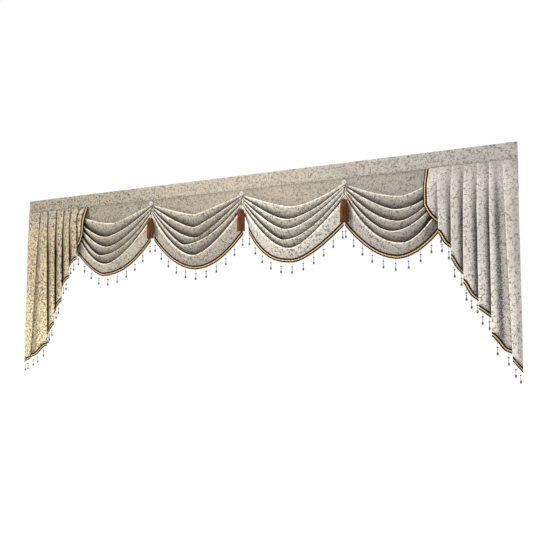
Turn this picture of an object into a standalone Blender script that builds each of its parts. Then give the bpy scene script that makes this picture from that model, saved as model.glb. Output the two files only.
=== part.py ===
"""Swag and tail drape: a window valance 3 m wide, sewn to a flat heading band.

Metres, +Z up.  X runs along the valance, its front faces -Y, and the origin is the middle of the
heading's top edge, on the heading's back.  A "drop" is measured down from the top edge, and a
"stand" is measured out from the back plane, towards the front.
"""
import math
from collections import namedtuple

import bmesh
import bpy
import numpy as np
from mathutils import Vector

# ------------------------------------------------------------------ driving dimensions
WIDTH = 3.000               # finished width, end to end
HEADING_DROP = 0.078        # depth of the flat heading band
HEADING_THICK = 0.003       # band: two layers of cloth over a stiffener
PANEL_END = 0.215           # drop of the plain panel's lower edge, behind the swags
PANEL_THICK = 0.002
PANEL_STAND = 0.0005        # stand of the panel's back
CLOTH = 0.002               # thickness of the draped cloth and of the braid
GAP = 0.0003                # between sewn pieces
HEM_GAP = 0.0006            # from a hem to its braid
BRAID = 0.018               # width of the trimming braid

# Swags.  Each hangs between two gathers, at these places along X.
GATHERS = (-1.120, -0.520, 0.079, 0.669, 1.200)
GATHER_CLEAR = 0.0015       # from a gather's line to the swag's side edge
GATHER_STAND = 0.011        # stand of a fold's lip where it is gathered
TUCK_STAND = 0.0042         # stand of the cloth sewn to the panel, and of the pleats' bottoms there
HEM_GATHER_STAND = 0.015    # stand of the hem beside a gather

# The folds of a swag, from the top one down to the hem, alike in all four: drop of its left and
# right end, stand of its lip at mid span, and stand of the hollow behind that lip.
Fold = namedtuple("Fold", "left_end right_end lip hollow")
FOLDS = tuple(Fold(*row) for row in (
    (0.107, 0.105, 0.032, TUCK_STAND),
    (0.118, 0.117, 0.037, 0.010),
    (0.130, 0.131, 0.040, 0.012),
    (0.143, 0.151, 0.042, 0.013),
    (0.160, 0.180, 0.042, 0.014),
    (0.312, 0.314, 0.031, 0.014),
))

# How each fold sags: where its lowest point lies between the gathers (0 left, 1 right), that
# point's drop, and how each side falls to it (1 straight, 2 or more full and round).
Sag = namedtuple("Sag", "low_at low fall_left fall_right")
SWAGS = (
    ("swag_1", (
        (0.55, 0.193, 1.60, 1.15),
        (0.46, 0.271, 1.55, 1.60),
        (0.49, 0.330, 1.65, 1.65),
        (0.42, 0.378, 1.65, 2.00),
        (0.47, 0.428, 1.95, 1.65),
        (0.45, 0.497, 1.35, 2.20),
    )),
    ("swag_2", (
        (0.51, 0.189, 1.20, 1.15),
        (0.51, 0.259, 1.30, 1.20),
        (0.54, 0.317, 1.70, 1.25),
        (0.41, 0.352, 1.30, 1.90),
        (0.51, 0.412, 1.70, 1.60),
        (0.51, 0.488, 1.90, 2.00),
    )),
    ("swag_3", (
        (0.54, 0.197, 1.15, 1.50),
        (0.49, 0.260, 1.25, 1.65),
        (0.48, 0.314, 1.30, 1.55),
        (0.46, 0.365, 1.30, 1.75),
        (0.50, 0.408, 1.60, 1.40),
        (0.51, 0.480, 2.60, 1.50),
    )),
    ("swag_4", (
        (0.57, 0.196, 1.50, 1.20),
        (0.53, 0.259, 1.30, 2.10),
        (0.55, 0.315, 1.70, 1.65),
        (0.49, 0.361, 1.65, 1.95),
        (0.57, 0.418, 2.10, 1.75),
        (0.53, 0.491, 1.85, 1.90),
    )),
)
HEM_INSET = ((0.000, 0.000), (0.022, -0.014), (0.044, 0.000), (0.003, 0.000))   # left, right
SWAG_COLUMNS = 17
STEEPEST_HEM = 1.8          # most that a slanting hem stretches the braid's upright height

# Tails.  Distances along X are measured from the middle of the valance outwards, and a pleat's
# folded edge faces the middle.  "top" and "low" are its places at the heading and HANG below it;
# "under" is the depth of cloth folded under it; "front" and "back" are the stands of the folded
# edge and of the fold hidden behind it; "hem_start" and "hem_end" are the drops of the cloth's
# edge where the face that it starts comes out and where the next pleat covers it; "strands" hang
# from that stretch.  The last row is the tail's outer edge.
HANG = 0.90
Pleat = namedtuple("Pleat", "top low under front back hem_start hem_end strands")
TAILS = (
    ("tail_left", -1, (
        (1.033, 1.024, 0.000, 0.0385, 0.0000, 0.225, 0.294, 1),
        (1.074, 1.036, 0.040, 0.0420, 0.0260, 0.373, 0.405, 2),
        (1.141, 1.104, 0.036, 0.0360, 0.0180, 0.482, 0.521, 2),
        (1.199, 1.182, 0.044, 0.0310, 0.0100, 0.617, 0.669, 2),
        (1.262, 1.240, 0.046, 0.0290, 0.0080, 0.755, 0.812, 3),
        (1.334, 1.302, 0.034, 0.0240, 0.0080, 0.881, 0.952, 3),
        (1.399, 1.448, 0.018, 0.0190, 0.0080, 0.964, 0.982, 2),
        (1.500, 1.503, 0.000, 0.0000, 0.0090, 0.000, 0.000, 0),
    )),
    ("tail_right", 1, (
        (1.097, 1.097, 0.000, 0.0385, 0.0000, 0.222, 0.320, 0),
        (1.150, 1.153, 0.021, 0.0440, 0.0290, 0.368, 0.438, 2),
        (1.211, 1.203, 0.021, 0.0400, 0.0210, 0.484, 0.560, 2),
        (1.266, 1.255, 0.020, 0.0350, 0.0100, 0.596, 0.679, 3),
        (1.324, 1.327, 0.018, 0.0320, 0.0080, 0.714, 0.755, 2),
        (1.379, 1.381, 0.030, 0.0320, 0.0080, 0.834, 0.909, 2),
        (1.438, 1.468, 0.015, 0.0270, 0.0080, 0.941, 0.984, 2),
        (1.500, 1.503, 0.000, 0.0000, 0.0090, 0.000, 0.000, 0),
    )),
)
SEAM_FRONT = 0.0135         # stand of a pleat's folded edge where it is sewn down flat
SEAM_EDGE = 0.0045          # stand of the tail's inner edge there
PLEAT_OPENS = 0.055         # how far below the seam a pleat has opened
PLEAT_TURN = 0.0032         # between the two layers at a fold
FACE_SHARES = ((0.50, 0.12, 0.12), (1.00, 0.59, 0.72))   # across a face: place, fall at seam, open
CORNER_SHARES = ((0.18, 0.10, 0.10), (0.45, 0.30, 0.30), (1.00, 0.60, 0.60))
CORNER_SHARE = 0.40         # share of the first face over which its hem turns the corner
TAIL_ROWS = (0.0, 0.05, 0.10, 0.20, 0.35, 0.55, 0.78, 1.0)

# Bead strands on the fringe: drop below the braid's edge and radius at each step of the strand.
STRAND = ((-0.004, 0.0009), (0.020, 0.0011), (0.026, 0.0029), (0.031, 0.0011), (0.050, 0.0054))
STRAND_TIP = 0.059
STRANDS_A_SWAG = 11
STRAND_END = 0.008          # from the end of the fringe to its first strand, along the hem

# Tassels, one at each gather between two swags.
TASSEL_GATHERS = (1, 2, 3)
KNOB_SHIFT = 0.008          # a knob sits this much to the right of its gather
TASSEL_SHIFT = 0.012        # and its tassel hangs this much to the right
KNOB_DROP = 0.103
KNOB_RADIUS = 0.0125
KNOB_STAND = 0.0270
KNOB_HALF_THICK = 0.0065
KNOB_PETALS = 6
SHANK_RADIUS = 0.003
CORD_RADIUS = 0.0018
CORD_DROPS = (0.1066, 0.168)
CORD_POINTS = 14
CORD_AT_SHANK = 0.0175      # stand of the cord where it leaves the shank, behind the knob
CORD_SWINGS = (0.118, 0.150)    # between these drops it comes forward over the swags' folds
BEAD_RADIUS = 0.0065
BEAD_DROPS = (0.1685, 0.1875)
TASSEL_STAND = 0.0370       # of the cord, the bead and the skirt
HEAD_DROPS = (0.188, 0.196, 0.206)
HEAD_HALF_WIDTHS = (0.0060, 0.0115, 0.0135)
SKIRT_END = 0.302
SKIRT_HALF_WIDTH = 0.0205
SKIRT_HALF_DEPTH = 0.0140
LOCK_RINGS = ((14, 1.00), (6, 0.50))    # locks in the ring, and its size against the skirt's
LOCK_FILL = 0.80            # share of the ring's length that its locks take


# ------------------------------------------------------------------ helpers
def clear_objects():
    for thing in list(bpy.data.objects):
        bpy.data.objects.remove(thing, do_unlink=True)


def material(name, colour, roughness, metallic=0.0):
    made = bpy.data.materials.new(name)
    made.use_nodes = True
    shader = made.node_tree.nodes["Principled BSDF"]
    shader.inputs["Base Color"].default_value = (*colour, 1.0)
    shader.inputs["Roughness"].default_value = roughness
    shader.inputs["Metallic"].default_value = metallic
    return made


def make_object(name, mesh, finish, smooth_angle=40.0):
    mesh.materials.append(finish)
    mesh.shade_smooth()
    mesh.set_sharp_from_angle(angle=math.radians(smooth_angle))
    made = bpy.data.objects.new(name, mesh)
    bpy.context.scene.collection.objects.link(made)
    return made


def box_mesh(name, low, high):
    size = Vector(high) - Vector(low)
    middle = (Vector(high) + Vector(low)) / 2
    work = bmesh.new()
    bmesh.ops.create_cube(work, size=1.0)
    bmesh.ops.scale(work, vec=size, verts=work.verts)
    bmesh.ops.translate(work, vec=middle, verts=work.verts)
    mesh = bpy.data.meshes.new(name)
    work.to_mesh(mesh)
    work.free()
    return mesh


def smoothstep(value):
    held = np.clip(value, 0.0, 1.0)
    return held * held * (3.0 - 2.0 * held)


def units(vectors):
    return vectors / np.linalg.norm(vectors, axis=-1, keepdims=True)


def sheet_normals(middle):
    """Unit normals of a grid of points, each the mean of the triangles round its point."""
    a, b, c, d = middle[:-1, :-1], middle[1:, :-1], middle[1:, 1:], middle[:-1, 1:]
    lower = units(np.cross(c - b, b - a))
    upper = units(np.cross(d - a, c - d))
    total = np.zeros_like(middle)
    rows, columns = a.shape[:2]
    corners = ((lower, 0, 0), (lower, 1, 0), (lower, 1, 1),
               (upper, 0, 0), (upper, 1, 1), (upper, 0, 1))
    for faces, row, column in corners:
        total[row:row + rows, column:column + columns] += faces
    return units(total)


def sheet_faces(rows, columns):
    """Triangles of a closed sheet whose front and back are grids of rows by columns points.

    Every four-sided cell is cut along the same diagonal in front and behind, and at the rim, so
    that twisted cells neither pinch the sheet nor meet the next one.
    """
    def front(row, column):
        return row * columns + column

    def back(row, column):
        return rows * columns + row * columns + column

    cells = []
    for row in range(rows - 1):
        for column in range(columns - 1):
            ring = ((row, column), (row + 1, column), (row + 1, column + 1), (row, column + 1))
            cells.append([front(*corner) for corner in ring])
            cells.append([back(*ring[corner]) for corner in (0, 3, 2, 1)])
    for column in range(columns - 1):
        for row, order in ((0, (0, 1, 2, 3)), (rows - 1, (0, 3, 2, 1))):
            ring = (back(row, column), front(row, column),
                    front(row, column + 1), back(row, column + 1))
            cells.append([ring[corner] for corner in order])
    for row in range(rows - 1):
        for column, order in ((0, (0, 3, 2, 1)), (columns - 1, (0, 1, 2, 3))):
            ring = (front(row, column), front(row + 1, column),
                    back(row + 1, column), back(row, column))
            cells.append([ring[corner] for corner in order])
    return [[cell[corner] for corner in half] for cell in cells for half in ((0, 1, 2), (0, 2, 3))]


def sheet_mesh(name, middle, normals):
    """A closed sheet, CLOTH thick, about a grid of points."""
    rows, columns = middle.shape[:2]
    front = middle + normals * (CLOTH / 2)
    back = middle - normals * (CLOTH / 2)
    points = np.concatenate([front.reshape(-1, 3), back.reshape(-1, 3)])
    work = bmesh.new()
    corners = [work.verts.new(point) for point in points.tolist()]
    for face in sheet_faces(rows, columns):
        work.faces.new([corners[index] for index in face])
    bmesh.ops.recalc_face_normals(work, faces=work.faces)
    mesh = bpy.data.meshes.new(name)
    work.to_mesh(mesh)
    work.free()
    return mesh


def turned(work, centre, steps, sides, tip=None, phase=0.0):
    """Adds a closed turned form on an upright axis: steps are (drop below centre, radii)."""
    rings = []
    for drop, radius in steps:
        ring = []
        for side in range(sides):
            angle = phase + 2.0 * math.pi * side / sides
            reach_x, reach_y = radius(angle) if callable(radius) else (radius, radius)
            offset = Vector((reach_x * math.cos(angle), reach_y * math.sin(angle), -drop))
            ring.append(work.verts.new(centre + offset))
        rings.append(ring)
    for upper, lower in zip(rings, rings[1:]):
        for side in range(sides):
            nxt = (side + 1) % sides
            work.faces.new((upper[side], upper[nxt], lower[nxt], lower[side]))
    work.faces.new(list(reversed(rings[0])))
    if tip is None:
        work.faces.new(rings[-1])
    else:
        end = work.verts.new(centre + Vector((0.0, 0.0, -tip)))
        for side in range(sides):
            work.faces.new((rings[-1][side], rings[-1][(side + 1) % sides], end))


def finished_mesh(work, name):
    bmesh.ops.recalc_face_normals(work, faces=work.faces)
    mesh = bpy.data.meshes.new(name)
    work.to_mesh(mesh)
    work.free()
    return mesh


def fuse(base, cutter_mesh):
    """Joins a mesh of separate strands or locks to the object that carries their roots."""
    extra = bpy.data.objects.new(base.name + "_roots", cutter_mesh)
    bpy.context.scene.collection.objects.link(extra)
    union = base.modifiers.new("roots", "BOOLEAN")
    union.operation = "UNION"
    union.solver = "EXACT"
    union.object = extra
    depsgraph = bpy.context.evaluated_depsgraph_get()
    fused = bpy.data.meshes.new_from_object(base.evaluated_get(depsgraph))
    base.modifiers.clear()
    base.data = fused
    bpy.data.objects.remove(extra, do_unlink=True)


# ------------------------------------------------------------------ the swags' surface
def column_places():
    """Places of the swag's columns between its gathers, closer together near them."""
    even = np.linspace(0.0, 1.0, SWAG_COLUMNS)
    return 0.5 * even + 0.25 * (1.0 - np.cos(math.pi * even))


def fold_drop(fold, sag, places):
    """Drop of a fold's lip, or of the hem, at each place across the swag."""
    ends = fold.left_end + (fold.right_end - fold.left_end) * places
    end_at_low = fold.left_end + (fold.right_end - fold.left_end) * sag.low_at
    left_share = np.clip((sag.low_at - places) / sag.low_at, 0.0, 1.0) ** sag.fall_left
    right_share = np.clip((places - sag.low_at) / (1.0 - sag.low_at), 0.0, 1.0) ** sag.fall_right
    return ends + (sag.low - end_at_low) * (1.0 - left_share - right_share)


def swag_grid(index):
    """Points of swag `index`, its braid included, and the number of rows that are cloth."""
    sags = [Sag(*row) for row in SWAGS[index][1]]
    places = column_places()
    left = GATHERS[index] + GATHER_CLEAR
    right = GATHERS[index + 1] - GATHER_CLEAR
    fullness = np.sin(math.pi * places) ** 0.8
    drops = [fold_drop(fold, sag, places) for fold, sag in zip(FOLDS, sags)]
    lips = [GATHER_STAND + (fold.lip - GATHER_STAND) * fullness for fold in FOLDS]
    hollows = [TUCK_STAND + (fold.hollow - TUCK_STAND) * fullness for fold in FOLDS]

    def across(inset_share):
        inset_left, inset_right = HEM_INSET[index]
        start = left + inset_left * inset_share
        return start + (right - inset_right * inset_share - start) * places

    rows = []

    def add_row(stand, drop, inset_share=0.0):
        rows.append(np.stack([across(inset_share), -stand, -drop], axis=1))

    for number in range(len(FOLDS) - 1):
        pitch = drops[number + 1] - drops[number]
        lip, hollow = lips[number], hollows[number]
        add_row(hollow, drops[number] + 0.15 * pitch)
        add_row(hollow + 0.80 * (lip - hollow), drops[number])
        add_row(lip, drops[number] + 0.15 * pitch)
        if number < len(FOLDS) - 2:
            add_row(lip - 0.35 * (lip - hollows[number + 1]), drops[number] + 0.60 * pitch)

    hem = drops[-1]
    slope = np.gradient(hem, across(1.0))
    stretch = np.minimum(np.sqrt(1.0 + slope ** 2), STEEPEST_HEM)
    cloth_end = hem - (BRAID + HEM_GAP) * stretch
    braid_start = hem - BRAID * stretch
    hem_stand = HEM_GATHER_STAND + (FOLDS[-1].lip - HEM_GATHER_STAND) * fullness
    start = drops[-2] + 0.15 * (hem - drops[-2])
    for share in (0.33, 0.66, 1.0):
        bow = 0.003 * math.sin(math.pi * share)
        stand = lips[-2] + (hem_stand - lips[-2]) * share + bow * fullness
        add_row(stand, start + (cloth_end - start) * share, share)
    cloth_rows = len(rows)
    add_row(hem_stand - 0.0001, braid_start, 1.0)
    add_row(hem_stand - 0.0012, hem, 1.0)
    return np.stack(rows), cloth_rows


def evenly_along(points, count, end):
    """`count` points evenly spaced along a line of points, `end` in from each of its ends."""
    steps = np.linalg.norm(np.diff(points, axis=0), axis=1)
    lengths = np.concatenate([[0.0], np.cumsum(steps)])
    wanted = np.linspace(end, lengths[-1] - end, count)
    return [Vector([np.interp(where, lengths, points[:, axis]) for axis in range(3)])
            for where in wanted]


# ------------------------------------------------------------------ the tails' surface
Column = namedtuple("Column", "top low seam_stand open_stand hem face")


def tail_columns(pleats):
    """Columns of a pleated tail, from its inner edge outwards and in and out of every fold.

    "face" is the number of the face that a column lies on, or -1 in the cloth folded under, and
    "hem" is the hang of the cloth's edge there.
    """
    columns = []
    seam_front = SEAM_EDGE
    for number, (here, nxt) in enumerate(zip(pleats, pleats[1:])):
        hem_start, hem_end, next_hem = [drop - HEADING_DROP - GAP for drop in
                                        (here.hem_start, here.hem_end, nxt.hem_start)]
        columns.append(Column(here.top, here.low, seam_front, here.front, hem_start, number))
        for share, seam_fall, open_fall in (FACE_SHARES if number else CORNER_SHARES):
            columns.append(Column(
                here.top + (nxt.top - here.top) * share,
                here.low + (nxt.low - here.low) * share,
                seam_front + (TUCK_STAND - seam_front) * seam_fall,
                here.front + (nxt.back - here.front) * open_fall,
                hem_start + (hem_end - hem_start) * (share if number else corner_turn(share)),
                number,
            ))
        if number == len(pleats) - 2:
            columns[-1] = columns[-1]._replace(seam_stand=TUCK_STAND, open_stand=nxt.back)
            return columns
        hidden = (nxt.top + nxt.under, nxt.low + nxt.under)
        for turn, face in ((0.0, number), (PLEAT_TURN, -1)):
            columns.append(Column(*hidden, TUCK_STAND + turn, nxt.back + turn,
                                  (hem_end + next_hem) / 2, face))
        seam_front = SEAM_FRONT
        columns.append(Column(nxt.top, nxt.low, seam_front - PLEAT_TURN,
                              nxt.front - PLEAT_TURN, next_hem, -1))


def corner_turn(share):
    """How far the hem has fallen across the tail's first face: fast at first, round its corner."""
    return (1.0 - math.exp(-share / CORNER_SHARE)) / (1.0 - math.exp(-1.0 / CORNER_SHARE))


def opening(hang):
    """How far a pleat has opened, `hang` below the seam."""
    closed = smoothstep(0.25)
    return (smoothstep(0.25 + 0.75 * hang / PLEAT_OPENS) - closed) / (1.0 - closed)


def tail_point(side, column, hang):
    """Point of a tail's column, `hang` below the seam."""
    away = column.top + (column.low - column.top) * hang / HANG
    stand = column.seam_stand + (column.open_stand - column.seam_stand) * opening(hang)
    return np.array([side * away, -stand, -(HEADING_DROP + GAP + hang)])


def flat_places(side, columns):
    """Distance of each column from the inner edge along the cloth, when it is laid flat."""
    section = [tail_point(side, column, HANG / 2) for column in columns]
    steps = [np.linalg.norm(there - here) for here, there in zip(section, section[1:])]
    return np.concatenate([[0.0], np.cumsum(steps)])


def braid_height(hangs, places):
    """Upright height of the braid, sewn along an edge that slants as this one does on average."""
    slant = (hangs[-1] - hangs[0]) / places[-1]
    return BRAID * math.sqrt(1.0 + slant ** 2)


def tail_grid(side, columns, hangs):
    return np.array([[tail_point(side, column, share * hang)
                      for column, hang in zip(columns, hangs)] for share in TAIL_ROWS])


def tail_braid_grid(side, columns, places, hangs):
    """Two lines of points, along the braid's inner and outer edge: down the tail's inner edge,
    round its corner and along the slanting hem, in and out of every pleat."""
    first, second = columns[0], columns[1]
    height = braid_height(hangs, places)
    corner = [index for index, column in enumerate(columns) if column.face == 0][:-1]
    corner_width = places[corner[-1]]
    slopes = np.gradient(hangs[corner], places[corner])

    def beside(place, hang):
        """Point of the first face, or of its plane beyond the inner edge."""
        share = place / places[1]
        parts = [start + (end - start) * share for start, end in zip(first[:4], second[:4])]
        return tail_point(side, Column(*parts, None, 0), hang)

    lines = [[], []]
    for share in TAIL_ROWS[:-1]:
        lines[0].append(beside(-HEM_GAP, share * hangs[0]))
        lines[1].append(beside(-HEM_GAP - BRAID, share * hangs[0]))
    for index in corner[:-1]:
        place, slope = places[index], slopes[index]
        turn = smoothstep(place / corner_width)
        direction = np.array([turn - 1.0, turn])
        normal = np.array([-slope, 1.0]) / math.hypot(slope, 1.0)
        direction /= direction @ normal
        for line, reach in zip(lines, (HEM_GAP, HEM_GAP + BRAID)):
            shift = direction * reach
            line.append(beside(place + shift[0], hangs[index] + shift[1]))
    for index in range(corner[-1], len(columns)):
        lines[0].append(tail_point(side, columns[index], hangs[index] + HEM_GAP))
        lines[1].append(tail_point(side, columns[index], hangs[index] + height))
    return np.array(lines)


def tail_strand_roots(side, pleats, columns, places, hangs):
    """Where bead strands hang from the hem, on the parts of the faces that show."""
    height = braid_height(hangs, places)
    roots = []
    for number, (here, nxt) in enumerate(zip(pleats, pleats[1:])):
        on_face = [index for index, column in enumerate(columns) if column.face == number]
        tops = [columns[index].top for index in on_face]
        for step in range(here.strands):
            aim = here.top + (nxt.top - here.top) * (step + 0.5) / here.strands
            parts = [np.interp(aim, tops, [columns[index][part] for index in on_face])
                     for part in range(4)]
            hang = np.interp(aim, tops, hangs[on_face]) + height
            roots.append(Vector(tail_point(side, Column(*parts, None, number), hang)))
    return roots


# ------------------------------------------------------------------ pieces
def make_heading():
    finish = material("heading_cloth", (0.52, 0.46, 0.38), 0.85)
    mesh = box_mesh("heading_band", (-WIDTH / 2, -HEADING_THICK, -HEADING_DROP), (WIDTH / 2, 0, 0))
    make_object("heading_band", mesh, finish)


def make_panel():
    finish = material("panel_cloth", (0.42, 0.38, 0.33), 0.85)
    low = (-WIDTH / 2, -PANEL_STAND - PANEL_THICK, -PANEL_END)
    high = (WIDTH / 2, -PANEL_STAND, -HEADING_DROP - GAP)
    make_object("base_panel", box_mesh("base_panel", low, high), finish)


def strands_mesh(name, roots):
    work = bmesh.new()
    for root in roots:
        turned(work, root, STRAND, 4, tip=STRAND_TIP, phase=math.pi / 4)
    return finished_mesh(work, name)


def make_swags():
    for index, (name, _) in enumerate(SWAGS):
        finish = material(name + "_cloth", (0.50, 0.45, 0.38), 0.80)
        grid, cloth_rows = swag_grid(index)
        normals = sheet_normals(grid)
        normals[:, (0, -1)] = normals[:, (1, -2)]
        normals[cloth_rows] = normals[cloth_rows - 1]
        make_object(name, sheet_mesh(name, grid[:cloth_rows], normals[:cloth_rows]), finish)
        braid_name = f"swag_fringe_{index + 1}"
        braid_finish = material(braid_name + "_braid", (0.55, 0.32, 0.10), 0.55)
        mesh = sheet_mesh(braid_name, grid[cloth_rows:], normals[cloth_rows:])
        braid = make_object(braid_name, mesh, braid_finish)
        roots = evenly_along(grid[-1], STRANDS_A_SWAG, STRAND_END)
        fuse(braid, strands_mesh(braid_name + "_strands", roots))


def make_tails():
    for name, side, rows in TAILS:
        pleats = [Pleat(*row) for row in rows]
        columns = tail_columns(pleats)
        places = flat_places(side, columns)
        hangs = np.array([column.hem for column in columns])
        finish = material(name + "_cloth", (0.56, 0.50, 0.38), 0.80)
        grid = tail_grid(side, columns, hangs)
        normals = sheet_normals(grid)
        make_object(name, sheet_mesh(name, grid, normals), finish)
        braid_name = name.replace("tail", "tail_fringe")
        braid_finish = material(braid_name + "_braid", (0.55, 0.32, 0.10), 0.55)
        strip = tail_braid_grid(side, columns, places, hangs)
        strip_normals = sheet_normals(strip)
        strip_normals[:, len(TAIL_ROWS) - 1:] = normals[-1]
        braid_mesh = sheet_mesh(braid_name, strip, strip_normals)
        braid = make_object(braid_name, braid_mesh, braid_finish)
        roots = tail_strand_roots(side, pleats, columns, places, hangs)
        fuse(braid, strands_mesh(braid_name + "_strands", roots))


def make_knob(name, place):
    """A flower-shaped knob on a shank that is sewn to the panel."""
    work = bmesh.new()
    sides = KNOB_PETALS * 3

    def petals(radius):
        def reach(angle):
            wave = 1.0 + 0.10 * math.cos(KNOB_PETALS * angle)
            return radius * wave, radius * wave
        return reach

    profile = ((-1.0, 0.35), (-0.45, 0.92), (0.15, 0.96), (0.80, 0.60), (1.0, 0.28))
    steps = [(depth * KNOB_HALF_THICK, petals(size * KNOB_RADIUS)) for depth, size in profile]
    shank_end = KNOB_STAND - PANEL_STAND - PANEL_THICK - GAP
    steps.insert(0, (-KNOB_HALF_THICK, petals(SHANK_RADIUS)))
    steps.insert(0, (-shank_end, petals(SHANK_RADIUS)))
    turned(work, Vector(), steps, sides)
    # The form is turned about Z, and Z drops to the front: it is laid over to face -Y.
    spin = Vector((0.0, -1.0, 0.0)).rotation_difference(Vector((0.0, 0.0, -1.0))).to_matrix()
    bmesh.ops.rotate(work, cent=(0, 0, 0), matrix=spin.inverted(), verts=work.verts)
    bmesh.ops.translate(work, vec=(place, -KNOB_STAND, -KNOB_DROP), verts=work.verts)
    finish = material(name + "_pearl", (0.85, 0.84, 0.80), 0.20)
    make_object(name, finished_mesh(work, name), finish)


def make_tassel_cord(name, shank_place, place):
    """A cord looped on the knob's shank, which hangs forward over the folds to the bead."""
    cord = bpy.data.curves.new(name, "CURVE")
    cord.dimensions = "3D"
    cord.bevel_depth = CORD_RADIUS
    cord.bevel_resolution = 1
    cord.use_fill_caps = True
    cord.materials.append(material(name + "_yarn", (0.05, 0.03, 0.02), 0.8))
    spline = cord.splines.new("POLY")
    spline.points.add(CORD_POINTS - 1)
    start, end = CORD_SWINGS
    for point, drop in zip(spline.points, np.linspace(*CORD_DROPS, CORD_POINTS)):
        swing = float(smoothstep((drop - start) / (end - start)))
        across = shank_place + (place - shank_place) * swing
        stand = CORD_AT_SHANK + (TASSEL_STAND - CORD_AT_SHANK) * swing
        point.co = (across, -stand, -drop, 1.0)
    bpy.context.scene.collection.objects.link(bpy.data.objects.new(name, cord))


def make_tassel_bead(name, place):
    work = bmesh.new()
    top, end = BEAD_DROPS
    steps = []
    for step in range(7):
        turn = math.pi * (step + 0.5) / 7
        drop = (top + end) / 2 - (end - top) / 2 * math.cos(turn)
        steps.append((drop, BEAD_RADIUS * math.sin(turn)))
    turned(work, Vector((place, -TASSEL_STAND, 0.0)), steps, 12)
    make_object(name, finished_mesh(work, name), material(name + "_glass", (0.8, 0.8, 0.78), 0.1))


def make_tassel_skirt(name, place):
    """A bound head with yarn locks hanging from it, in two rings."""
    shape = SKIRT_HALF_DEPTH / SKIRT_HALF_WIDTH
    middle = Vector((place, -TASSEL_STAND, 0.0))

    def oval(half_width):
        return lambda angle: (half_width, half_width * shape)

    work = bmesh.new()
    steps = [(drop, oval(half)) for drop, half in zip(HEAD_DROPS, HEAD_HALF_WIDTHS)]
    turned(work, middle, steps, 16)
    head = make_object(name, finished_mesh(work, name), material(name + "_yarn", (0.17, 0.04, 0.01),
                                                                 0.75))
    locks = bmesh.new()
    root_drop = HEAD_DROPS[-1] - 0.002
    for count, ring_size in LOCK_RINGS:
        pitch = 2.0 * math.pi / count
        for lock in range(count):
            angle = pitch * (lock + 0.5)
            end_drop = SKIRT_END - 0.003 * (1.0 + math.sin(5.0 * angle + 7.0 * place))
            rings = []
            for drop, spread in ((root_drop, 0.56), (root_drop + 0.022, 0.86), (end_drop, 0.92)):
                reach = SKIRT_HALF_WIDTH * ring_size * spread
                radius = 0.5 * LOCK_FILL * pitch * reach * (0.86 if ring_size == 1.0 else 0.7)
                centre = middle + Vector((reach * math.cos(angle),
                                          reach * shape * math.sin(angle), -drop))
                rings.append([locks.verts.new(centre + Vector((
                    radius * math.cos(angle + quarter * math.pi / 2),
                    radius * math.sin(angle + quarter * math.pi / 2), 0.0)))
                    for quarter in range(4)])
            for upper, lower in zip(rings, rings[1:]):
                for quarter in range(4):
                    nxt = (quarter + 1) % 4
                    locks.faces.new((upper[quarter], upper[nxt], lower[nxt], lower[quarter]))
            locks.faces.new(list(reversed(rings[0])))
            locks.faces.new(rings[-1])
    fuse(head, finished_mesh(locks, name + "_locks"))


def make_tassels():
    for number, gather in enumerate(TASSEL_GATHERS, start=1):
        shank_place = GATHERS[gather] + KNOB_SHIFT
        place = GATHERS[gather] + TASSEL_SHIFT
        make_knob(f"tassel_knob_{number}", shank_place)
        make_tassel_cord(f"tassel_cord_{number}", shank_place, place)
        make_tassel_bead(f"tassel_bead_{number}", place)
        make_tassel_skirt(f"tassel_skirt_{number}", place)


clear_objects()
make_heading()
make_panel()
make_swags()
make_tails()
make_tassels()
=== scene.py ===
import math
from collections import namedtuple

import bpy
import numpy as np
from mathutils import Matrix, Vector


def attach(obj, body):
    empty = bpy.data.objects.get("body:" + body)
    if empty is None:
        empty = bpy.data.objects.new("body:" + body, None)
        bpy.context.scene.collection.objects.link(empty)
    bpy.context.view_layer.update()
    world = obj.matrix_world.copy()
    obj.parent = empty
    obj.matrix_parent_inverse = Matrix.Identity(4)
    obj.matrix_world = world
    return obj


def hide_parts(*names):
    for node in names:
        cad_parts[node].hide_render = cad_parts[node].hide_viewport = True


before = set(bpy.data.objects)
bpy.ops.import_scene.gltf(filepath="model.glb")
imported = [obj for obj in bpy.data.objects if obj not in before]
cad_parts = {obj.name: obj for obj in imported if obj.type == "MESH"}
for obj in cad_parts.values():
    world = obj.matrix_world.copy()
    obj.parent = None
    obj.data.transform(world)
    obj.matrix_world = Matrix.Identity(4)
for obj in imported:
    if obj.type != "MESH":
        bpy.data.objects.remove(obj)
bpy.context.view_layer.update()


# -------------------- the studio
# The valance hangs with its top edge 2.5 m above a plain pale floor.  It is seen from below and
# from its right, in soft light from above on the left, a little warmer there than on the right.
FLOOR_LEVEL, FLOOR_REACH = -2.5, 60
CAMERA_PLACE = (2.246, -3.43, -0.872)
CAMERA_TILT, CAMERA_TURN = 4.48, 29.53  # degrees up, and to its left
LIT_MIDDLE = (0, 0, -0.4)
# Each lamp: place, width, power and colour.
LAMPS = {
    "lamp_left": ((-2.5, -1.4, -1.5), 0.7, 6.0, (1.00, 0.94, 0.78)),
    "lamp_right": ((3.0, -2.4, -0.7), 1.4, 4.0, (0.92, 0.96, 1.00)),
    "lamp_above": ((-0.15, -1.0, 0.9), 0.8, 12.0, (1.00, 0.95, 0.86)),
}


def feed(made, inputs):
    """Fill a node's inputs, by name or number, from sockets, values and linear colours."""
    for name, value in inputs.items():
        socket = made.inputs[name]
        if isinstance(value, bpy.types.NodeSocket):
            made.id_data.links.new(value, socket)
        else:
            socket.default_value = (*value, 1) if socket.type == "RGBA" else value


def node(tree, kind, inputs=None, output=0, **settings):
    """The output of a new shader node with these inputs and settings."""
    made = tree.nodes.new("ShaderNode" + kind)
    for name, value in settings.items():
        setattr(made, name, value)
    feed(made, inputs or {})
    return made.outputs[output]


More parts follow.
